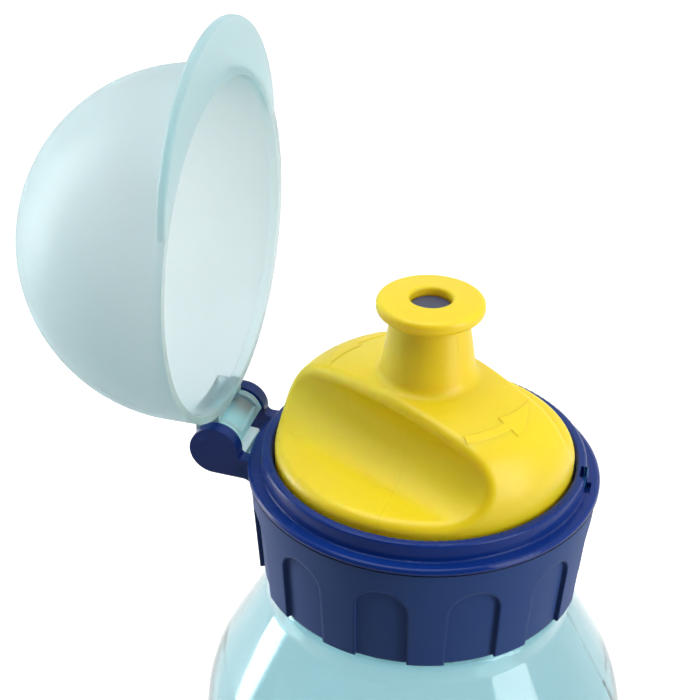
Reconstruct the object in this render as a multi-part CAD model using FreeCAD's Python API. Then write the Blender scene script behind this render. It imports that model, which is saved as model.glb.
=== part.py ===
import FreeCAD, Part
import math
import os

# Squeeze bottle with a screw collar, a twist-to-open mouthpiece and a hinged dome lid.
# Millimetres, +Z up. The origin is the centre of the ring that the bottle stands on.
# The hinge is on -X and the lid's thumb tab opposite it. The lid is built shut over the
# mouthpiece, then swung open.

Vec = FreeCAD.Vector
ORIGIN = Vec(0, 0, 0)
UP = Vec(0, 0, 1)

# ---- overall heights: collar sizes below are measured from the ledge that the lid sits on ----
ledge_z = 152.0

# ---- bottle ----
bottle_radius = 36.7
bottle_wall = 1.5
base_corner = 9.0
foot_ring_inset = 9.7
foot_ring_width = 3.4
foot_ring_edge = 0.8
push_up = 5.0
waist_depth = 3.3
waist_bottom = 48.0
waist_top = 66.0
waist_blend = 14.0
shoulder_foot = 24.95
shoulder_slope = 28.8
shoulder_blend = 26.0
shoulder_fillet = 2.2

# ---- collar heights ----
collar_height = 19.9
collar_lip_height = 1.1
deck_top = 3.2
deck_thickness = 1.8

# ---- neck finish and screw thread ----
neck_root_radius = 23.2
neck_wall = 2.0
neck_bead_rim = 2.3
neck_bead_gap = 1.5
neck_bead_edge = 0.8
thread_depth = 1.2
thread_lead = 3.8
thread_turns = 1.4
thread_inset = 1.7
thread_root_width = 1.9
thread_crest_width = 1.0
thread_clearance = 0.4
thread_float = 0.12
collar_thread_first = 180.0
root_sink = 0.35

# ---- collar ----
collar_wall = 2.0
collar_draft = 1.4
collar_lip = 0.3
collar_mouth_chamfer = 0.6
guide_ring_wall = 1.5
guide_ring_draft = 0.3
guide_ring_height = 2.85
guide_ring_gap = 0.45
deck_width = 6.8
flute_count = 12
flute_width = 8.2
flute_top = 5.4
flute_depth = 0.75
latch_bite_width = 3.2
latch_bite_depth = 0.9
latch_bite_reach = 1.0
latch_bite_drop = 1.0

# ---- lid hinge ----
hinge_offset = 4.7
hinge_rise = 0.7
ear_radius = 4.15
ear_thickness = 2.35
arm_drop = 2.8
arm_slope = 0.3
arm_blend = 2.2
arm_top = 0.15
ear_blend = 1.0
knuckle_width = 10.9
knuckle_inset = 0.3
knuckle_flat = 3.75
knuckle_edge = 0.8
knuckle_relief = 28.0
side_gap = 0.25
pin_radius = 1.7
pin_length = 1.5
pin_clearance = 0.08
open_angle = 90.0

# ---- lid ----
lid_inset = 0.55
lid_wall = 0.9
lid_rim_wall = 1.4
lid_rim_height = 1.6
lid_rim_edge = 0.4
lid_headroom = 0.1
lid_seat_gap = 0.15
tab_reach = 8.1
tab_narrowing = 2.95
tab_thickness = 1.5
tab_edge = 0.45
web_recess = 0.6
recess_start = 1.0
side_plate = 1.3
heel_width = 7.2
heel_gap = 0.06
heel_height = 1.5

# ---- valve core ----
core_flange_thickness = 1.3
core_flange_gap = 0.4
drum_radius = 12.6
drum_wall = 1.8
drum_top = 2.8
tower_radius = 6.2
tower_wall = 1.6
tower_top = 14.3
spider_arms = 3
spider_width = 1.5
spider_depth = 2.0
plug_stem_radius = 2.2
plug_clearance = 0.1
plug_length = 2.4
plug_recess = 1.5
twist_angle = 90.0
twist_lift = 0.7
cam_count = 2
cam_depth = 1.0
cam_height = 1.6
cam_arc = 50.0
cam_base = 3.6
cam_clearance = 0.1
track_overrun = 4.0

# ---- seals ----
gasket_thickness = 1.5
gasket_overhang = 0.2
gasket_edge = 0.3
oring_section = 1.0
oring_drop = 2.1
oring_clearance = 0.03
oring_groove_gap = 0.12

# ---- mouthpiece ----
skirt_gap = 0.5
skirt_float = 0.3
skirt_wall = 1.8
dome_shoulder_radius = 9.5
dome_top = 17.1
dome_slope = 14.0
neck_base_radius = 7.7
neck_top_radius = 6.0
neck_blend = 1.8
flange_radius = 8.45
flange_top = 30.3
flange_thickness = 2.8
flange_crown = 0.35
flange_edge = 0.9
outlet_radius = 3.3
outlet_edge = 0.5
outlet_length = 1.6
outlet_flare = 0.6
spout_bore_radius = 4.5
sleeve_wall = 1.4
sleeve_clearance = 0.1
tower_headroom = 0.7
cam_sleeve_wall = 2.6
scoop_radius = 6.7
scoop_inset = 8.6
scoop_drop = 5.6
scoop_floor = 4.8
scoop_angle = 240.0
scoop_wall = 1.6
scoop_crease = 1.6
scoop_count = 2

# ---- sizes that follow from the ones above ----
foot_ring_radius = bottle_radius - foot_ring_inset
waist_radius = bottle_radius - waist_depth
neck_bore_radius = neck_root_radius - neck_wall
neck_bead_radius = neck_root_radius + neck_bead_rim
neck_bead_top = collar_height + neck_bead_gap
thread_start = collar_height - thread_inset
collar_bore_radius = neck_root_radius + thread_depth + thread_clearance
collar_bottom_radius = collar_bore_radius + collar_wall
collar_top_radius = collar_bottom_radius + collar_draft
collar_lip_radius = collar_top_radius + collar_lip
deck_bore_radius = collar_bore_radius - deck_width
core_radius = collar_bore_radius - core_flange_gap
lid_radius = collar_lip_radius - lid_inset
lid_inner_radius = lid_radius - lid_wall
guide_ring_outer = lid_radius - lid_rim_wall - guide_ring_gap
guide_ring_inner = guide_ring_outer - guide_ring_wall
skirt_radius = guide_ring_inner - skirt_gap
skirt_bottom = deck_top - skirt_float
flange_edge_top = flange_top - flange_crown + twist_lift
lid_crown = math.sqrt(lid_inner_radius ** 2 - flange_radius ** 2)
lid_spring = flange_edge_top + lid_headroom - lid_crown
tab_radius = lid_radius - tab_narrowing
tab_offset = lid_radius + tab_reach - tab_radius
hinge_x = -collar_lip_radius - hinge_offset
hinge_z = ledge_z + hinge_rise
knuckle_radius = ear_radius - knuckle_inset
deck_under_z = ledge_z - deck_top - deck_thickness
gasket_top_z = deck_under_z - core_flange_thickness
land_z = gasket_top_z - gasket_thickness
tower_bore_radius = tower_radius - tower_wall
plug_radius = outlet_radius - plug_clearance
plug_top = flange_top - plug_recess
oring_centre = tower_top - oring_drop
scoop_reach = skirt_radius - scoop_inset
scoop_height = dome_top - scoop_drop


def rounded(points):
    """Closed wire through (x, z) or (x, z, corner radius) points, in the XZ plane."""
    corners = [(Vec(p[0], 0, p[1]), p[2] if len(p) > 2 else 0.0) for p in points]
    ends = []
    for i, (corner, radius) in enumerate(corners):
        before = (corners[i - 1][0] - corner).normalize()
        after = (corners[(i + 1) % len(corners)][0] - corner).normalize()
        if not radius:
            ends.append((corner, None, corner))
            continue
        half = before.getAngle(after) / 2
        reach = radius / math.tan(half)
        centre = corner + (before + after).normalize() * (radius / math.sin(half))
        middle = centre + (corner - centre).normalize() * radius
        ends.append((corner + before * reach, middle, corner + after * reach))
    edges = []
    for i, (start, middle, end) in enumerate(ends):
        if middle:
            edges.append(Part.Arc(start, middle, end).toShape())
        following = ends[(i + 1) % len(ends)][0]
        if end.distanceToPoint(following) > 1e-6:
            edges.append(Part.LineSegment(end, following).toShape())
    return Part.Wire(edges)


def turned(points):
    """Solid of revolution about the bottle's axis."""
    return Part.Face(rounded(points)).revolve(ORIGIN, UP, 360)


def ring(outer, inner, bottom, top):
    """Plain ring about the bottle's axis, or a disc where inner is 0."""
    body = Part.makeCylinder(outer, top - bottom, Vec(0, 0, bottom))
    if inner:
        body = body.cut(Part.makeCylinder(inner, top - bottom, Vec(0, 0, bottom)))
    return body


def around(shape, count, first=0.0):
    """Copies of a shape, evenly spaced about the bottle's axis."""
    copies = []
    for i in range(count):
        copy = shape.copy()
        copy.rotate(ORIGIN, UP, first + 360.0 * i / count)
        copies.append(copy)
    return copies


def plate(points, low_y, high_y):
    """Flat plate with an outline in the XZ plane, from low_y to high_y."""
    face = Part.Face(rounded(points))
    face.translate(Vec(0, low_y, 0))
    return face.extrude(Vec(0, high_y - low_y, 0))


def across(radius, x, z, low_y, high_y):
    """Round bar along Y."""
    return Part.makeCylinder(radius, high_y - low_y, Vec(x, low_y, z), Vec(0, 1, 0))


def helical(radius, tip, root_width, tip_width, lead, start_z, degrees, first):
    """Ridge wound about the axis: root on radius, crest on tip, middle starting at start_z.

    Its root is sunk into the wall, so that it joins it along the whole flank.
    """
    sunk = math.copysign(root_sink, tip - radius)
    flank = (root_width - tip_width) / 2 / (tip - radius)
    root_half = root_width / 2 + flank * sunk
    section = rounded([
        (radius - sunk, start_z - root_half),
        (radius - sunk, start_z + root_half),
        (tip, start_z + tip_width / 2),
        (tip, start_z - tip_width / 2),
    ])
    spine = Part.makeHelix(lead, lead * degrees / 360.0, radius)
    spine.translate(Vec(0, 0, start_z))
    ridge = Part.Wire(spine.Edges).makePipeShell([section], True, True)
    ridge.rotate(ORIGIN, UP, first)
    return ridge


def bottle_outline(inset, bottom_z, neck):
    """Outline of the bottle from base to neck; inset moves it inside the wall."""
    radius = bottle_radius - inset
    waist = waist_radius - inset
    neck_radius = neck[0][0]
    slope = math.tan(math.radians(shoulder_slope))
    rise = (bottle_radius - neck_bead_radius) / slope
    shift = (neck_bead_radius - inset - neck_radius) / slope
    foot_z = ledge_z - shoulder_foot
    outline = [
        (radius, bottom_z, max(base_corner - inset, bottle_wall)),
        (radius, waist_bottom - waist_blend, waist_blend),
        (waist, waist_bottom, waist_blend),
        (waist, waist_top, waist_blend),
        (radius, waist_top + waist_blend, waist_blend),
        (radius, foot_z - rise, shoulder_blend - inset),
        (neck_radius, foot_z + shift, shoulder_fillet),
    ]
    return outline + neck


def bottle_body():
    bead_top = ledge_z - neck_bead_top
    foot_outer = foot_ring_radius + foot_ring_width / 2
    foot_inner = foot_ring_radius - foot_ring_width / 2
    neck = [
        (neck_bead_radius, bead_top, neck_bead_edge),
        (neck_root_radius, bead_top),
        (neck_root_radius, land_z, neck_bead_edge / 2),
        (0, land_z),
    ]
    dome = [
        (0, push_up),
        (foot_inner - push_up, push_up, push_up),
        (foot_inner, 0, foot_ring_edge),
    ]
    outside = turned(dome + bottle_outline(0, 0, neck))
    cavity_neck = [(neck_bore_radius, land_z + 1), (0, land_z + 1)]
    floor = [
        (0, push_up + bottle_wall),
        (foot_inner - push_up, push_up + bottle_wall, push_up + bottle_wall),
        (foot_inner, bottle_wall, bottle_wall),
        (foot_outer, bottle_wall),
    ]
    cavity = turned(floor + bottle_outline(bottle_wall, bottle_wall, cavity_neck))
    thread = helical(
        neck_root_radius,
        neck_root_radius + thread_depth,
        thread_root_width,
        thread_crest_width,
        thread_lead,
        ledge_z - thread_start,
        360 * thread_turns,
        0,
    )
    return outside.cut(cavity).fuse(thread).removeSplitter()


def thread_meet():
    """How far the collar's thread lies below the neck's thread when their flanks meet."""
    flank = (thread_root_width - thread_crest_width) / 2 / thread_depth
    engaged = collar_bore_radius - thread_depth - neck_root_radius
    return (thread_root_width + thread_crest_width) / 2 - flank * engaged + thread_float


def flutes():
    """Arch-topped recesses round the collar, as one cutter."""
    half = flute_width / 2
    bottom = ledge_z - collar_height
    outside = 2 * collar_lip_radius
    arch_radius = half * 0.98
    outline = [
        (-half, bottom - 1),
        (half, bottom - 1),
        (half, ledge_z - flute_top, arch_radius),
        (-half, ledge_z - flute_top, arch_radius),
    ]
    arch = Part.Face(rounded(outline)).extrude(Vec(0, outside, 0))
    arch.rotate(ORIGIN, UP, -90)
    top_z = ledge_z - collar_lip_height
    lean = collar_draft / (collar_height - collar_lip_height)
    floor_band = turned([
        (collar_bottom_radius - flute_depth - lean, bottom - 1),
        (outside, bottom - 1),
        (outside, top_z),
        (collar_top_radius - flute_depth, top_z),
    ])
    return Part.makeCompound(around(arch, flute_count)).common(floor_band)


def hinge_ear(low_y, high_y):
    """One ear: a round plate with an arm that flows into the collar's side."""
    low_z = hinge_z - ear_radius
    root_x = -collar_bore_radius - collar_wall / 3
    side_y = max(abs(low_y), abs(high_y))
    wall_x = -math.sqrt((collar_bottom_radius + collar_draft / 2) ** 2 - side_y ** 2)
    arm = plate([
        (hinge_x, low_z),
        (wall_x, low_z - arm_slope, arm_blend),
        (wall_x, low_z - arm_drop),
        (root_x, low_z - arm_drop),
        (root_x, ledge_z - arm_top),
        (hinge_x + ear_radius, ledge_z - arm_top, ear_blend),
        (hinge_x + ear_radius * 0.94, hinge_z + ear_blend),
        (hinge_x, hinge_z + ear_blend),
    ], low_y, high_y)
    return across(ear_radius, hinge_x, hinge_z, low_y, high_y).fuse(arm)


def screw_collar():
    top = ledge_z
    base = ledge_z - collar_height
    shell = turned([
        (deck_bore_radius, deck_under_z),
        (collar_bore_radius, deck_under_z, 0.3),
        (collar_bore_radius, base + collar_mouth_chamfer),
        (collar_bore_radius + collar_mouth_chamfer, base),
        (collar_bottom_radius, base, 0.3),
        (collar_top_radius, top - collar_lip_height, 0.3),
        (collar_lip_radius, top - collar_lip_height, 0.4),
        (collar_lip_radius, top, 0.6),
        (guide_ring_outer + guide_ring_draft, top, 0.25),
        (guide_ring_outer, top + guide_ring_height, 0.4),
        (guide_ring_inner, top + guide_ring_height, 0.4),
        (guide_ring_inner, top - deck_top, 0.5),
        (deck_bore_radius, top - deck_top, 0.3),
    ])
    ears = []
    inner_y = knuckle_width / 2 + side_gap
    for low_y in (inner_y, -inner_y - ear_thickness):
        ears.append(hinge_ear(low_y, low_y + ear_thickness))
    pin_reach = inner_y + pin_length
    pin_bore = across(pin_radius + pin_clearance, hinge_x, hinge_z, -pin_reach, pin_reach)
    bite = Part.makeBox(
        latch_bite_depth + latch_bite_reach,
        latch_bite_width,
        guide_ring_height + latch_bite_drop + 1,
        Vec(guide_ring_outer - latch_bite_depth, -latch_bite_width / 2, top - latch_bite_drop),
    )
    thread = helical(
        collar_bore_radius,
        collar_bore_radius - thread_depth,
        thread_root_width,
        thread_crest_width,
        thread_lead,
        top - thread_start + thread_lead * collar_thread_first / 360 - thread_meet(),
        360 * thread_turns,
        collar_thread_first,
    )
    body = shell.fuse(ears).cut(pin_bore).cut(flutes()).cut(bite)
    return body.fuse(thread).removeSplitter()


def neck_gasket():
    inner = neck_bore_radius - gasket_overhang
    outer = collar_bore_radius - gasket_overhang
    return turned([
        (inner, land_z, gasket_edge),
        (outer, land_z, gasket_edge),
        (outer, gasket_top_z, gasket_edge),
        (inner, gasket_top_z, gasket_edge),
    ])


def cam_ridge(clearance, first, degrees):
    """Helical cam on the drum, or with clearance the track cut for it in the mouthpiece."""
    lead = twist_lift * 360.0 / twist_angle
    start_z = ledge_z - cam_base + cam_height / 2 + lead * first / 360.0
    return helical(
        drum_radius,
        drum_radius + cam_depth + clearance,
        cam_height + 2 * clearance,
        cam_height * 0.7 + 2 * clearance,
        lead,
        start_z,
        degrees,
        first,
    )


def valve_core():
    drum_bore = drum_radius - drum_wall
    drum_roof = ledge_z + drum_top
    tower_end = ledge_z + tower_top
    bore_end = tower_end - spider_depth
    plug_end = ledge_z + plug_top
    body = turned([
        (drum_bore, gasket_top_z, 0.3),
        (core_radius, gasket_top_z),
        (core_radius, deck_under_z),
        (drum_radius, deck_under_z, 0.4),
        (drum_radius, drum_roof, 0.8),
        (tower_radius, drum_roof, 0.3),
        (tower_radius, tower_end, 0.5),
        (tower_bore_radius, tower_end),
        (tower_bore_radius, drum_roof - drum_wall, 0.6),
        (drum_bore, drum_roof - drum_wall, 1.0),
    ])
    groove_half = oring_section / 2 + oring_groove_gap
    groove_root = tower_radius - oring_section + oring_clearance
    groove = ring(
        tower_radius + 1,
        groove_root,
        ledge_z + oring_centre - groove_half,
        ledge_z + oring_centre + groove_half,
    )
    arm = Part.makeBox(
        (groove_root + tower_bore_radius) / 2,
        spider_width,
        spider_depth,
        Vec(0, -spider_width / 2, bore_end),
    )
    plug = turned([
        (0, bore_end),
        (plug_stem_radius, bore_end),
        (plug_stem_radius, plug_end - plug_length - (plug_radius - plug_stem_radius)),
        (plug_radius, plug_end - plug_length),
        (plug_radius, plug_end, 0.25),
        (0, plug_end),
    ])
    cams = around(cam_ridge(0, 0, cam_arc), cam_count)
    parts = [plug] + around(arm, spider_arms, 90) + cams
    return body.cut(groove).fuse(parts).removeSplitter()


def stem_oring():
    middle = tower_radius - oring_section / 2 + oring_clearance * 2
    return Part.makeTorus(middle, oring_section / 2, Vec(0, 0, ledge_z + oring_centre))


def scoop(extra):
    """Finger scoop across one side of the dome, grown by extra for the wall behind it."""
    radius = scoop_radius + extra
    z = ledge_z + scoop_height
    floor_z = ledge_z + scoop_floor - extra
    past = 2 * skirt_radius
    slot = plate([
        (scoop_reach, floor_z),
        (past, floor_z),
        (past, z + radius),
        (scoop_reach, z + radius),
    ], -past, past)
    cutter = across(radius, scoop_reach, z, -past, past).fuse(slot)
    lower = Part.makeBox(2 * past, 2 * past, past, Vec(-past, -past, floor_z - past))
    cutter = cutter.cut(lower)
    cutter.rotate(ORIGIN, UP, scoop_angle)
    return cutter


def scoop_creases(body):
    """Edges round the scoops' faces, but not the seam between groove and floor."""
    floor_z = ledge_z + scoop_floor
    creases = []
    for face in body.Faces:
        groove = isinstance(face.Surface, Part.Cylinder) and abs(face.Surface.Axis.z) < 0.1
        low = abs(face.BoundBox.ZMax - floor_z) < 0.01
        if groove or (low and isinstance(face.Surface, Part.Plane)):
            creases += [e for e in face.Edges if not isinstance(e.Curve, Part.Line)]
    return creases


def dome_outline(inset):
    """Outer outline of the mouthpiece's dome from its skirt up to its crown."""
    slope = math.tan(math.radians(dome_slope))
    radius = skirt_radius - inset
    crown = ledge_z + dome_top - inset
    shoulder_z = crown - slope * (radius - neck_base_radius)
    return [
        (radius, ledge_z - skirt_bottom, 0.4),
        (radius, shoulder_z, dome_shoulder_radius - inset),
        (neck_base_radius, crown, neck_blend),
    ]


def mouthpiece():
    bottom = ledge_z - skirt_bottom
    flange_z = ledge_z + flange_top
    flange_under = flange_z - flange_thickness
    bore_z = flange_z - outlet_length - outlet_flare
    outside = turned([(0, bottom)] + dome_outline(0) + [
        (neck_top_radius, flange_under, flange_edge),
        (flange_radius, flange_under + flange_crown, flange_edge),
        (flange_radius, flange_z - flange_crown, flange_edge),
        (outlet_radius, flange_z, outlet_edge),
        (outlet_radius, flange_z - outlet_length),
        (spout_bore_radius, bore_z),
        (spout_bore_radius, bore_z - 5),
        (0, bore_z - 5),
    ])
    scooped = outside.cut(around(scoop(0), scoop_count)).removeSplitter()
    scooped = scooped.makeFillet(scoop_crease, scoop_creases(scooped))
    sleeve_bore = tower_radius + sleeve_clearance
    hollow_top = ledge_z + dome_top
    hollow = turned(
        [(0, bottom)] + dome_outline(skirt_wall) + [(0, hollow_top - skirt_wall)]
    )
    cam_bore = drum_radius + cam_clearance
    cam_sleeve_top = ledge_z + scoop_floor - scoop_wall / 2
    cam_sleeve = ring(cam_bore + cam_sleeve_wall, cam_bore, bottom, cam_sleeve_top)
    sleeve = ring(sleeve_bore + sleeve_wall, 0, ledge_z + drum_top + sleeve_wall / 4, hollow_top)
    hollow = hollow.cut(around(scoop(scoop_wall), scoop_count) + [sleeve, cam_sleeve])
    tower_bore = ring(sleeve_bore, 0, ledge_z, ledge_z + tower_top + tower_headroom)
    spout_bore = ring(spout_bore_radius, 0, ledge_z, bore_z - 4)
    track_arc = cam_arc + twist_angle + 2 * track_overrun
    track = cam_ridge(cam_clearance, -twist_angle - track_overrun, track_arc)
    tracks = around(track, cam_count)
    body = scooped.cut([hollow, tower_bore, spout_bore])
    return body.cut(tracks).removeSplitter()


def lid():
    """Dome lid, built shut over the mouthpiece and swung open about the hinge."""
    rim = ledge_z + lid_seat_gap
    spring_z = ledge_z + lid_spring
    outside = ring(lid_radius, 0, rim, spring_z).fuse(
        Part.makeSphere(lid_radius, Vec(0, 0, spring_z), UP, 0, 90)
    )
    inside = ring(lid_inner_radius, 0, rim, spring_z).fuse(
        Part.makeSphere(lid_inner_radius, Vec(0, 0, spring_z), UP, 0, 90)
    )
    band_inner = lid_radius - lid_rim_wall
    band_outer = lid_radius - lid_rim_edge
    rim_band = turned([
        (band_inner, rim, 0.3),
        (band_outer, rim, 0.3),
        (band_outer, rim + lid_rim_height + 0.3),
        (lid_inner_radius, rim + lid_rim_height + 0.3),
        (band_inner, rim + lid_rim_height),
    ])
    tab = Part.makeCylinder(tab_radius, tab_thickness, Vec(tab_offset, 0, rim))
    tab = tab.makeFillet(tab_edge, [e for e in tab.Edges if isinstance(e.Curve, Part.Circle)])
    half = knuckle_width / 2
    web_z = rim + lid_rim_edge
    knuckle = across(knuckle_radius, hinge_x, hinge_z, -half, half).fuse(
        plate([
            (hinge_x, web_z),
            (-lid_inner_radius, web_z),
            (-lid_inner_radius, hinge_z + knuckle_radius),
            (hinge_x, hinge_z + knuckle_radius),
        ], -half, half)
    )
    relief = math.tan(math.radians(knuckle_relief))
    recess_z = web_z + web_recess
    recess_x = hinge_x + knuckle_edge + recess_start
    flat_z = hinge_z - knuckle_flat
    far = 2 * knuckle_radius
    below = plate([
        (hinge_x + knuckle_edge, flat_z),
        (hinge_x + far, flat_z),
        (hinge_x + far, flat_z - far),
        (hinge_x - far, flat_z - far),
        (hinge_x - far, flat_z + (far + knuckle_edge) * relief),
    ], -half, half)
    knuckle = knuckle.cut(below)
    pocket_half = half - side_plate
    floor = across(knuckle_radius - web_recess, hinge_x, hinge_z, -half, half).cut(
        plate([
            (hinge_x - far, flat_z + web_recess),
            (hinge_x + far, flat_z + web_recess),
            (hinge_x + far, flat_z - far),
            (hinge_x - far, flat_z - far),
        ], -half, half)
    )
    pocket = plate([
        (recess_x, recess_z),
        (-lid_radius - side_gap, recess_z),
        (-lid_radius - side_gap, flat_z - far),
        (recess_x, flat_z - far),
    ], -pocket_half, pocket_half)
    knuckle = knuckle.cut(pocket.cut(floor))
    heel_x = -collar_lip_radius - heel_gap
    heel_low = hinge_z - hinge_rise - heel_height - 0.2
    heel = plate([
        (hinge_x + pin_radius / 2, heel_low),
        (heel_x, heel_low, 0.3),
        (heel_x, heel_low + heel_height, 0.3),
        (hinge_x + pin_radius / 2, heel_low + heel_height + 0.5),
    ], -half, -half + heel_width)
    heel.rotate(Vec(hinge_x, 0, hinge_z), Vec(0, 1, 0), open_angle)
    pins = across(pin_radius, hinge_x, hinge_z, -half - pin_length, half + pin_length)
    shell = outside.fuse([tab, knuckle]).cut(inside)
    shell = shell.fuse([rim_band, pins, heel]).removeSplitter()
    shell.rotate(Vec(hinge_x, 0, hinge_z), Vec(0, 1, 0), -open_angle)
    return shell


NODES = {
    "bottle_body": bottle_body,
    "neck_gasket": neck_gasket,
    "screw_collar": screw_collar,
    "valve_core": valve_core,
    "stem_oring": stem_oring,
    "mouthpiece": mouthpiece,
    "lid": lid,
}

os.makedirs("parts", exist_ok=True)
for node, make in NODES.items():
    shape = make()
    if len(shape.Solids) == 1:
        shape = shape.Solids[0]
    box = shape.BoundBox
    volume = shape.Volume / 1000
    print(f"{node}: {len(shape.Solids)} solid, valid {shape.isValid()}, {volume:.2f} cm3")
    print(f"    z {box.ZMin:.2f} to {box.ZMax:.2f}")
    shape.exportStep(f"parts/{node}.step")
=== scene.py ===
import math
import random
import bmesh
import bpy
from mathutils import Matrix, Vector


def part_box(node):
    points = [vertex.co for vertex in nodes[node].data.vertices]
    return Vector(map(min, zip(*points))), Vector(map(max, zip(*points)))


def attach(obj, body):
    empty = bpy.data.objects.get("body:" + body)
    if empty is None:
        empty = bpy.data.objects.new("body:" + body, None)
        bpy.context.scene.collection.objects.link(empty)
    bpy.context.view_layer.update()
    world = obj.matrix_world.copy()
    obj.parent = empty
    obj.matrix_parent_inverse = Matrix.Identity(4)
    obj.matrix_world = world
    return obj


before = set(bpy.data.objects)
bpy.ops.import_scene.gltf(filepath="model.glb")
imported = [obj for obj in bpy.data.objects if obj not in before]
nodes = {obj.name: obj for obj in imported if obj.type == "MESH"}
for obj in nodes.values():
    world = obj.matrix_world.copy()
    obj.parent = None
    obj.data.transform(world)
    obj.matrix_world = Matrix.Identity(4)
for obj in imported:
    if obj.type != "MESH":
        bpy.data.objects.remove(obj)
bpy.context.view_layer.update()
scene = bpy.context.scene
gasketDrop = 0.0063
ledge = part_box("neck_gasket")[1].z + gasketDrop  # the height that the lid's rim rests at
print("frame loaded, ledge at", round(ledge, 5))


# Shader maths: a socket that can be added, multiplied and so on, like a number.
class Wire:
    def __init__(self, tree, socket):
        self.tree = tree
        self.socket = socket

    def maths(self, operation, *terms):
        return self.tree.node("ShaderNodeMath", {"operation": operation}, dict(enumerate(terms)))

    def __add__(self, other):
        return self.maths("ADD", self, other)

    def __radd__(self, other):
        return self.maths("ADD", other, self)

    def __sub__(self, other):
        return self.maths("SUBTRACT", self, other)

    def __rsub__(self, other):
        return self.maths("SUBTRACT", other, self)

    def __mul__(self, other):
        return self.maths("MULTIPLY", self, other)

    def __rmul__(self, other):
        return self.maths("MULTIPLY", other, self)

    def __abs__(self):
        return self.maths("ABSOLUTE", self)

    def root(self):
        return self.maths("SQRT", self)

    def most(self, other):
        return self.maths("MAXIMUM", self, other)

    def ramp(self, low, high, start=0.0, end=1.0):
        settings = {"interpolation_type": "SMOOTHSTEP"}
        values = {0: self, 1: low, 2: high, 3: start, 4: end}
        return self.tree.node("ShaderNodeMapRange", settings, values)

    def band(self, middle, half, soft):
        away = abs(self - middle)
        return away.ramp(half, half + soft, 1.0, 0.0)


# A node tree: one method makes every node, and the others are its common uses.
class Tree:
    def __init__(self, name, tree=None):
        if tree is None:
            self.material = bpy.data.materials.new(name)
            self.material.use_nodes = True
            tree = self.material.node_tree
        self.tree = tree
        tree.nodes.clear()

    def feed(self, socket, value):
        if isinstance(value, Wire):
            self.tree.links.new(value.socket, socket)
        elif isinstance(value, (tuple, list)) and socket.type == "RGBA" and len(value) == 3:
            socket.default_value = (*value, 1.0)
        else:
            socket.default_value = value

    def node(self, kind, settings=None, values=None, out=0):
        made = self.tree.nodes.new(kind)
        for key, value in (settings or {}).items():
            setattr(made, key, value)
        for key, value in (values or {}).items():
            self.feed(made.inputs[key], value)
        if out is None:
            return [Wire(self, socket) for socket in made.outputs]
        return Wire(self, made.outputs[out])

    def mix(self, amount, first, second):
        settings = {"data_type": "RGBA", "clamp_factor": True}
        return self.node("ShaderNodeMix", settings, {0: amount, 6: first, 7: second}, out=2)

    def where(self, kind="Object"):
        return self.node("ShaderNodeTexCoord", out=kind)

    def split(self, vector):
        return self.node("ShaderNodeSeparateXYZ", {}, {0: vector}, out=None)

    def noise(self, where, scale, detail=2.0, roughness=0.5):
        values = {"Vector": where, "Scale": scale, "Detail": detail, "Roughness": roughness}
        return self.node("ShaderNodeTexNoise", {}, values)

    def bump(self, height, distance, strength=1.0, normal=None):
        values = {"Height": height, "Distance": distance, "Strength": strength}
        if normal is not None:
            values["Normal"] = normal
        return self.node("ShaderNodeBump", {}, values)

    def ray(self, kind):
        return self.node("ShaderNodeLightPath", out=kind)

    def background(self, gloss):
        seen = self.ray("Is Camera Ray").most(self.ray("Is Transmission Ray"))
        return seen.most(self.ray("Is Glossy Ray") * gloss)

    def principled(self, values):
        return self.node("ShaderNodeBsdfPrincipled", {}, values)

    def finish(self, shader, volume=None):
        ends = {"Surface": shader}
        if volume is not None:
            ends["Volume"] = volume
        self.node("ShaderNodeOutputMaterial", {}, ends, out=None)
        return self.material


def meshFrom(name, made, material):
    bmesh.ops.recalc_face_normals(made, faces=made.faces)
    mesh = bpy.data.meshes.new(name)
    made.to_mesh(mesh)
    made.free()
    mesh.materials.append(material)
    return mesh


def polar(x, y):
    return (x * x + y * y).root(), x.maths("ARCTAN2", y, x)


def link(name, data):
    piece = bpy.data.objects.new(name, data)
    scene.collection.objects.link(piece)
    return piece


# The screw collar: navy polypropylene, finely textured round its side, polished on the lip
# and on the hinge's ears. Two parting lines of the mould cross the ledge by the catch notch.
collar = {
    "blue": (0.001, 0.025, 0.19),
    # the side's lighter grey-blue is painted sheen, standing in for the lavender sheen of the
    # textured side
    "paintedSheenBlue": (0.027, 0.063, 0.186),
    "lineBlue": (0.0, 0.004, 0.03),
    "sideTop": (0.0013, 0.0009),  # below the ledge
    "earStart": (-0.0300, -0.0292),
    "grain": 2600.0,
    "cloud": 90.0,
    "sideRough": 0.5,
    "lipRough": 0.24,
    "cloudRough": 0.06,
    "lipEdge": 0.00035,
    "sideEdge": 0.0007,
    "partings": (0.00255, -0.00155),
    "partingHalf": 0.00003,
    "partingSoft": 0.00005,
    "partingStart": (0.0262, 0.0264),
    "relief": 0.00004,
    "specular": 0.10,
    "polish": 0.2,
    "polishRough": 0.12,
    "sheen": 0.16,
    "sheenRough": 0.4,
    "sheenTint": (0.62, 0.72, 1.0),
}


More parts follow.
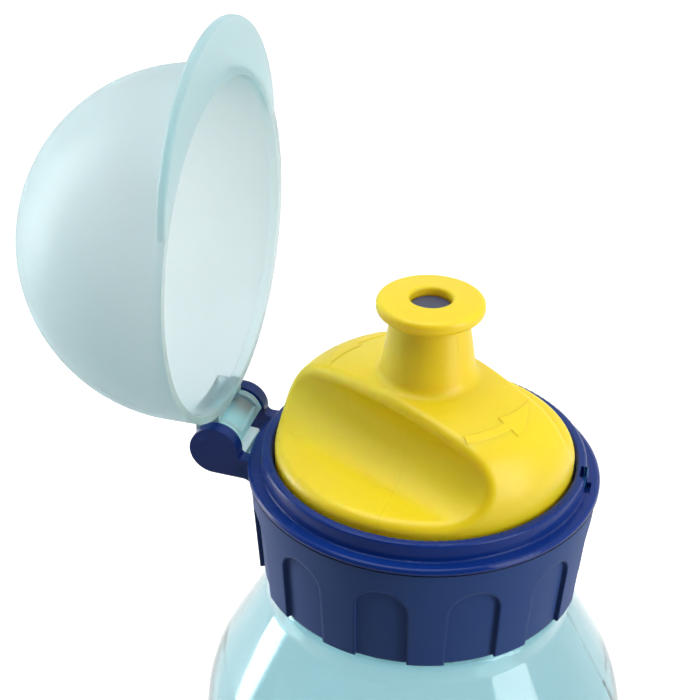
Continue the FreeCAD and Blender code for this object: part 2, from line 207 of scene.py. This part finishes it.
def collarMaterial():
    tree = Tree("collarBlue")
    where = tree.where()
    x, y, z = tree.split(where)
    low, high = collar["sideTop"]
    side = z.ramp(ledge - low, ledge - high, 1.0, 0.0) * x.ramp(*collar["earStart"])
    grain = tree.noise(where, collar["grain"], 3.0, 0.6)
    cloud = tree.noise(where, collar["cloud"], 3.0, 0.55)
    crisp = tree.node("ShaderNodeBevel", {"samples": 4}, {"Radius": collar["lipEdge"]})
    worn = tree.node("ShaderNodeBevel", {"samples": 6}, {"Radius": collar["sideEdge"]})
    edges = {0: side, 4: crisp, 5: worn}
    soft = tree.node("ShaderNodeMix", {"data_type": "VECTOR"}, edges, out=1)
    rough = side * (collar["sideRough"] - collar["lipRough"]) + collar["lipRough"]
    half, fade = collar["partingHalf"], collar["partingSoft"]
    first, second = [y.band(at, half, fade) for at in collar["partings"]]
    parting = first.most(second) * x.ramp(*collar["partingStart"])
    # painted sheen: the textured side gets a lighter grey-blue base colour than the polished
    # lip, in place of its sheen
    colour = tree.mix(side * (0.6 + cloud * 0.4), collar["blue"], collar["paintedSheenBlue"])
    values = {
        "Base Color": tree.mix(parting * 0.7, colour, collar["lineBlue"]),
        "Roughness": rough + cloud * collar["cloudRough"],
        "Normal": tree.bump(grain * side - parting, collar["relief"], 0.4, soft),
        "IOR": 1.5,
        "Specular IOR Level": collar["specular"],
        "Coat Weight": (1 - side) * collar["polish"],
        "Coat Roughness": collar["polishRough"],
        "Sheen Weight": collar["sheen"],
        "Sheen Roughness": collar["sheenRough"],
        "Sheen Tint": collar["sheenTint"],
    }
    return tree.finish(tree.principled(values))


# The mouthpiece: satin yellow with a little light passing through thin walls. Two fine seams
# run down the dome, in degrees round the spout, and a short one marks the neck.
spout = {
    "yellow": (0.93, 0.71, 0.012),
    "deep": (0.88, 0.63, 0.004),
    "seamYellow": (0.62, 0.43, 0.004),
    "cloud": 70.0,
    "grain": 900.0,
    "rough": 0.37,
    "grainRough": 0.05,
    "edge": 0.0004,
    "relief": 0.00008,
    "seams": (-94.0, 86.0),
    "seamWidth": 0.004,
    "seamStart": (0.0088, 0.0092),
    "seamDepth": 1.4,
    "neckMark": -36.0,
    "markWidth": 0.02,
    "markHeight": 0.0248,
    "markReach": (0.0012, 0.0004),
    "glow": 0.5,
    "glowRadius": (1.0, 0.55, 0.03),
    "glowScale": 0.003,
}


def spoutMaterial(name, glow):
    tree = Tree(name)
    where = tree.where()
    x, y, z = tree.split(where)
    radius, angle = polar(x, y)
    cloud = tree.noise(where, spout["cloud"], 3.0, 0.5)
    fine = tree.noise(where, spout["grain"], 2.0, 0.5)
    colour = tree.mix(cloud, spout["yellow"], spout["deep"])
    mark = (angle - math.radians(spout["neckMark"])).band(0.0, 0.0, spout["markWidth"])
    seams = mark * z.band(ledge + spout["markHeight"], *spout["markReach"])
    for degrees in spout["seams"]:
        line = (angle - math.radians(degrees)).band(0.0, 0.0, spout["seamWidth"])
        seams = seams.most(line * radius.ramp(*spout["seamStart"]))
    height = fine * 0.25 + seams * spout["seamDepth"]
    soft = tree.node("ShaderNodeBevel", {"samples": 4}, {"Radius": spout["edge"]})
    values = {
        "Base Color": tree.mix(seams * 0.5, colour, spout["seamYellow"]),
        "Roughness": spout["rough"] + fine * spout["grainRough"],
        "Normal": tree.bump(height, spout["relief"], 0.25, soft),
        "IOR": 1.48,
        "Specular IOR Level": 0.5,
        "Subsurface Weight": glow,
        "Subsurface Radius": spout["glowRadius"],
        "Subsurface Scale": spout["glowScale"],
    }
    return tree.finish(tree.principled(values))


# The lid: frosted polypropylene that lets light through, greener where it is thick.
dome = {
    "frost": (0.85, 0.855, 0.865),
    "cloudy": (0.81, 0.825, 0.84),
    "cloud": 60.0,
    "grain": 1800.0,
    "relief": 0.00004,
    "rough": 0.42,
    "through": 0.7,
    "tint": (0.18, 0.83, 0.87),
    "depth": 200.0,
}


def domeMaterial():
    tree = Tree("lidFrost")
    where = tree.where()
    cloud = tree.noise(where, dome["cloud"], 3.0, 0.5)
    grain = tree.noise(where, dome["grain"], 2.0, 0.5)
    values = {
        "Base Color": tree.mix(cloud * 0.5, dome["frost"], dome["cloudy"]),
        "Roughness": dome["rough"] + cloud * 0.05,
        "Normal": tree.bump(grain, dome["relief"], 0.3),
        "IOR": 1.3,
        "Transmission Weight": dome["through"],
        "Specular IOR Level": 0.3,
    }
    tint = {"Color": dome["tint"], "Density": dome["depth"]}
    volume = tree.node("ShaderNodeVolumeAbsorption", {}, tint)
    return tree.finish(tree.principled(values), volume)


# The bottle: clear tinted shell, glossy, with the slow waves of a blown wall.
shell = {
    "clear": (0.70, 0.80, 0.83),
    "milky": (0.58, 0.74, 0.78),
    "flow": 25.0,
    "rough": 0.05,
    "through": 0.92,
    "tint": (0.10, 0.66, 0.70),
    "depth": 150.0,
    "wave": 0.0008,
}


def shellMaterial():
    tree = Tree("bottleClear")
    flow = tree.noise(tree.where(), shell["flow"], 2.0, 0.5)
    values = {
        "Base Color": tree.mix(flow, shell["clear"], shell["milky"]),
        "Roughness": shell["rough"] + flow * 0.02,
        "Normal": tree.bump(flow, shell["wave"], 0.2),
        "IOR": 1.45,
        "Transmission Weight": shell["through"],
    }
    tint = {"Color": shell["tint"], "Density": shell["depth"]}
    volume = tree.node("ShaderNodeVolumeAbsorption", {}, tint)
    return tree.finish(tree.principled(values), volume)


# The valve core: dark grey insert, matt from the mould.
core = {
    "grey": (0.035, 0.045, 0.10),
    "worn": (0.05, 0.06, 0.12),
    "cloud": 300.0,
    "rough": 0.4,
    "relief": 0.00005,
}


def coreMaterial():
    tree = Tree("coreGrey")
    cloud = tree.noise(tree.where(), core["cloud"], 3.0, 0.5)
    values = {
        "Base Color": tree.mix(cloud, core["grey"], core["worn"]),
        "Roughness": core["rough"] + cloud * 0.1,
        "Normal": tree.bump(cloud, core["relief"], 0.3),
    }
    return tree.finish(tree.principled(values))


# The gasket and the O-ring: pale silicone.
seal = {
    "pale": (0.68, 0.72, 0.72),
    "milky": (0.74, 0.77, 0.76),
    "cloud": 400.0,
    "rough": 0.5,
    "relief": 0.00003,
    "glow": 0.2,
    "glowScale": 0.001,
}


def sealMaterial():
    tree = Tree("sealSilicone")
    cloud = tree.noise(tree.where(), seal["cloud"], 3.0, 0.5)
    values = {
        "Base Color": tree.mix(cloud, seal["pale"], seal["milky"]),
        "Roughness": seal["rough"] + cloud * 0.15,
        "Normal": tree.bump(cloud, seal["relief"], 0.3),
        "Subsurface Weight": seal["glow"],
        "Subsurface Scale": seal["glowScale"],
    }
    return tree.finish(tree.principled(values))


silicone = sealMaterial()
arrowYellow = spoutMaterial("arrowYellow", 0.0)
finishes = {
    "screw_collar": collarMaterial(),
    "mouthpiece": spoutMaterial("spoutYellow", spout["glow"]),
    "lid": domeMaterial(),
    "bottle_body": shellMaterial(),
    "valve_core": coreMaterial(),
    "neck_gasket": silicone,
    "stem_oring": silicone,
}
for name, material in finishes.items():
    for holder in nodes[name].material_slots:
        holder.material = material
print("materials given to", len(finishes), "nodes")

# Two raised arrows on the dome show which way to twist it open: places round the dome in
# degrees, and inner and outer radii.
arrow = {
    "tail": 302.3,
    "neck": 328.7,
    "tip": 359.0,
    "shaft": (0.0157, 0.01785),
    "head": (0.0145, 0.0192),
    "point": 0.0160,
    "pointWidth": 0.00002,
    "sweep": 1.25,
    "height": 0.00008,
    "slope": 0.00035,
    "slopeShare": 2.2,  # the sloped edges never meet in the middle
    "sunk": 0.0003,
    "steps": 24,
    "columns": 5,
}
# The dome's flank that the arrows lie on: a cone, then a rounded shoulder.
domeForm = {
    "crown": 0.0171,
    "crownRadius": 0.0077,
    "slope": 14.0,
    "bendCentre": (0.01459, 0.00559),
    "bendRadius": 0.0095,
    "bendStart": 0.0169,
}


def domeHeight(radius):
    if radius < domeForm["bendStart"]:
        fall = math.tan(math.radians(domeForm["slope"])) * (radius - domeForm["crownRadius"])
        return ledge + domeForm["crown"] - fall
    out, up = domeForm["bendCentre"]
    return ledge + up + math.sqrt(domeForm["bendRadius"] ** 2 - (radius - out) ** 2)


def arrowStations():
    stations = []
    point = arrow["point"]
    for i in range(arrow["steps"] + 1):
        share = i / arrow["steps"]
        turn = arrow["tail"] + (arrow["neck"] - arrow["tail"]) * share
        stations.append((turn, *arrow["shaft"]))
    for i in range(arrow["steps"] + 1):
        share = i / arrow["steps"]
        turn = arrow["neck"] + (arrow["tip"] - arrow["neck"]) * share
        inner, outer = arrow["head"]
        inner = inner + (point - inner) * share
        outer = outer + (point - outer) * share ** arrow["sweep"]
        stations.append((turn, inner, outer + arrow["pointWidth"]))
    return stations


def arrowRow(made, turn, inner, outer):
    row = []
    angle = math.radians(turn)
    widest = (outer - inner) / arrow["slopeShare"]
    for level, inset in ((-arrow["sunk"], 0.0), (arrow["height"], arrow["slope"])):
        low = inner + min(inset, widest)
        high = outer - min(inset, widest)
        for i in range(arrow["columns"]):
            radius = low + (high - low) * i / (arrow["columns"] - 1)
            up = domeHeight(radius) + level
            spot = (radius * math.cos(angle), radius * math.sin(angle), up)
            row.append(made.verts.new(spot))
    return row


def arrowMesh(name, start):
    made = bmesh.new()
    columns = arrow["columns"]
    rows = []
    for turn, inner, outer in arrowStations():
        rows.append(arrowRow(made, turn + start, inner, outer))
    for first, second in zip(rows, rows[1:]):
        for i in range(columns - 1):
            made.faces.new((first[i], first[i + 1], second[i + 1], second[i]))
            top = columns + i
            made.faces.new((first[top], second[top], second[top + 1], first[top + 1]))
        for i in (0, columns - 1):
            made.faces.new((first[i], second[i], second[columns + i], first[columns + i]))
    for row in (rows[0], rows[-1]):
        for i in range(columns - 1):
            made.faces.new((row[i], row[i + 1], row[columns + i + 1], row[columns + i]))
    piece = link(name, meshFrom(name, made, arrowYellow))
    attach(piece, "mouthpiece")


for name, start in (("arrowFront", 0.0), ("arrowBack", 180.0)):
    arrowMesh(name, start)
print("two arrows set on the dome")

# Ragged flash stands in the catch notch, where the mould's insert met the ring: two thin
# slivers at the notch's ends, in degrees round the ring, that taper to the top.
flash = {
    "blue": (0.02, 0.16, 0.46),
    "paleBlue": (0.05, 0.30, 0.66),
    "cloud": 1500.0,
    "rough": 0.35,
    "relief": 0.00003,
    "radius": (0.0258, 0.0264),
    "turns": (-3.45, 3.45),
    "foot": 0.0012,
    "footThick": 0.000144,
    "top": 0.0029,
    "topThick": 0.000024,
    "topTurn": 1.02,
    "rag": 0.0006,
    "ragLow": 0.3,
    "teeth": 14,
    "seed": 5,
}


def flashMaterial():
    tree = Tree("flashBlue")
    cloud = tree.noise(tree.where(), flash["cloud"], 2.0, 0.5)
    values = {
        "Base Color": tree.mix(cloud, flash["blue"], flash["paleBlue"]),
        "Roughness": flash["rough"] + cloud * 0.2,
        "Normal": tree.bump(cloud, flash["relief"], 0.3),
    }
    return tree.finish(tree.principled(values))


def flashRow(made, radius, angle, rag):
    row = []
    foot = (flash["foot"], angle, flash["footThick"])
    top = (flash["top"] + rag * 0.5, angle * flash["topTurn"], flash["topThick"])
    for side in (-1, 1):
        for up, turned, thick in (foot, top):
            y = radius * math.sin(turned) + side * thick / 2
            x = math.sqrt(radius ** 2 - y ** 2)
            row.append(made.verts.new((x, y, ledge + up)))
    return row


def flashMesh(name, turn, lean):
    draw = random.Random(flash["seed"] + (turn > 0))
    made = bmesh.new()
    inner, outer = flash["radius"]
    rows = []
    for i in range(flash["teeth"] + 1):
        radius = inner + (outer - inner) * i / flash["teeth"]
        rag = draw.uniform(0.0, flash["rag"]) * (1 if i % 2 else flash["ragLow"])
        rows.append(flashRow(made, radius, math.radians(turn) + lean * rag / radius, rag))
    for first, second in zip(rows, rows[1:]):
        for a, b in ((0, 1), (1, 3), (3, 2), (2, 0)):
            made.faces.new((first[a], first[b], second[b], second[a]))
    for row in (rows[0], rows[-1]):
        made.faces.new((row[0], row[1], row[3], row[2]))
    piece = link(name, meshFrom(name, made, flashBlue))
    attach(piece, "cap")


flashBlue = flashMaterial()
flashMesh("flashNear", flash["turns"][0], 1.0)
flashMesh("flashFar", flash["turns"][1], -1.0)
print("moulding flash set in the catch notch")

# Floor, lights and world. The front of the studio is darker than its back and sides.
studio = {
    "floor": (0.5, 0.5, 0.5),
    "glow": 0.8,
    "frontGloss": 0.2,
    "front": 0.04,
    "back": 0.34,
    "floorFade": (-0.32, 0.1),
    "lightFade": (-0.9, 0.3),
    "glossFade": (-0.6, 0.2),
    "reach": 6.0,
    "drop": 0.0002,
    "aim": Vector((0, 0, 0.16)),
}


def floorMaterial():
    tree = Tree("floorPale")
    x, y, z = tree.split(tree.where())
    seen = tree.background(y.ramp(*studio["floorFade"], studio["frontGloss"], 1.0))
    lit = tree.node("ShaderNodeBsdfDiffuse", {}, {"Color": studio["floor"]})
    glow = tree.node("ShaderNodeEmission", {}, {"Strength": seen * studio["glow"]})
    return tree.finish(tree.node("ShaderNodeAddShader", {}, {0: lit, 1: glow}))


reach = studio["reach"]
floorMesh = bpy.data.meshes.new("floor")
corners = [(-reach, -reach), (reach, -reach), (reach, reach), (-reach, reach)]
floorMesh.from_pydata([(*corner, -studio["drop"]) for corner in corners], [], [(0, 1, 2, 3)])
floorMesh.materials.append(floorMaterial())
floor = link("floor", floorMesh)

softboxes = [
    {"name": "left", "place": (-0.62, 0.03, 0.30), "size": (0.2, 0.8), "power": 4.2},
    {"name": "right", "place": (0.61, -0.15, 0.32), "size": (0.3, 0.9), "power": 4.2},
    {"name": "top", "place": (-0.12, 0.02, 0.95), "size": (0.8, 0.6), "power": 4.4},
]
for box in softboxes:
    light = bpy.data.lights.new(box["name"], "AREA")
    light.shape = "RECTANGLE"
    light.size, light.size_y = box["size"]
    light.energy = box["power"]
    lamp = link(box["name"], light)
    lamp.location = box["place"]
    aim = studio["aim"] - Vector(box["place"])
    lamp.rotation_euler = aim.to_track_quat("-Z", "Y").to_euler()

world = bpy.data.worlds.new("studio")
scene.world = world
world.use_nodes = True
sky = Tree("studio", world.node_tree)
depth = sky.split(sky.where("Generated"))[1]  # from the front, -1, to the back, 1
behind = depth.ramp(*studio["lightFade"], studio["front"], studio["back"])
gloss = depth.ramp(*studio["glossFade"], studio["frontGloss"], 1.0)
level = behind.most(sky.background(gloss))
backdrop = sky.node("ShaderNodeBackground", {}, {"Color": (1.0, 1.0, 1.0), "Strength": level})
sky.node("ShaderNodeOutputWorld", {}, {"Surface": backdrop}, out=None)
print("studio lit with", len(softboxes), "softboxes")

# The camera looks down on the cap from the front right.
view = {
    "place": Vector((0.039718, -0.197948, 0.290241)),
    "forward": Vector((-0.220915, 0.834948, -0.504042)),
    "up": Vector((-0.144833, 0.482995, 0.863562)),
    "lens": 77.143,
    "sensor": 36.0,
    "clip": (0.01, 50.0),
}
lens = bpy.data.cameras.new("camera")
lens.lens = view["lens"]
lens.sensor_width = view["sensor"]
lens.clip_start, lens.clip_end = view["clip"]
camera = link("camera", lens)
across = view["forward"].cross(view["up"])
turn = Matrix((across, view["up"], -view["forward"])).transposed()
camera.matrix_world = Matrix.Translation(view["place"]) @ turn.to_4x4()
scene.camera = camera
scene.view_settings.view_transform = "Standard"
print("camera placed")
